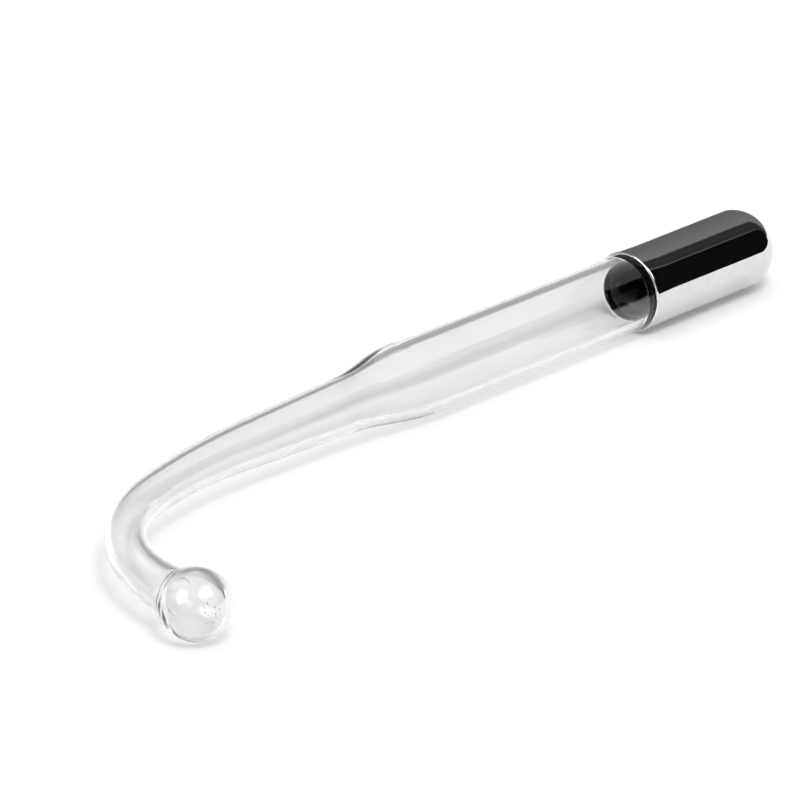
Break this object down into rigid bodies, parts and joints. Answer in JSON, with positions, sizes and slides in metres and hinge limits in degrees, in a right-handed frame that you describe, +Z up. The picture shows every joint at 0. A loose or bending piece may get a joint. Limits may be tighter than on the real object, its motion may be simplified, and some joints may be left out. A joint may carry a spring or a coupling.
{
  "type": "violet ray electrode",
  "caption": "Hollow glass discharge electrode with a bent stem and ball tip, sealed and cemented into a round-ended metal cap that plugs into a high-frequency wand.",
  "frame": {"origin": "centre of the cap's mouth, on the axis of the plug", "axes": "+X along the plug towards its round end, so the glass runs to -X; the stem hooks towards -Y; +Z up with the electrode lying on a table"},
  "size_m": [0.1436, 0.0398, 0.011],
  "materials": {
    "plated_cap": "polished plating",
    "cement": "matt dark cement",
    "clear_glass": "clear, flame worked",
    "bead_glass": "pale blue",
    "wire": "drawn copper-clad wire",
    "solder": "dull tin solder"
  },
  "bodies": {
    "root": {"contact_cap": "plated_cap", "basing_cement": "cement", "glass_barrel": "clear_glass", "bent_stem": "clear_glass", "ball_tip": "clear_glass", "end_seal": "clear_glass", "seal_bead": "bead_glass", "lead_in_wire": "wire", "exhaust_tip": "clear_glass", "solder_bead": "solder"}
  },
  "joints": []
}
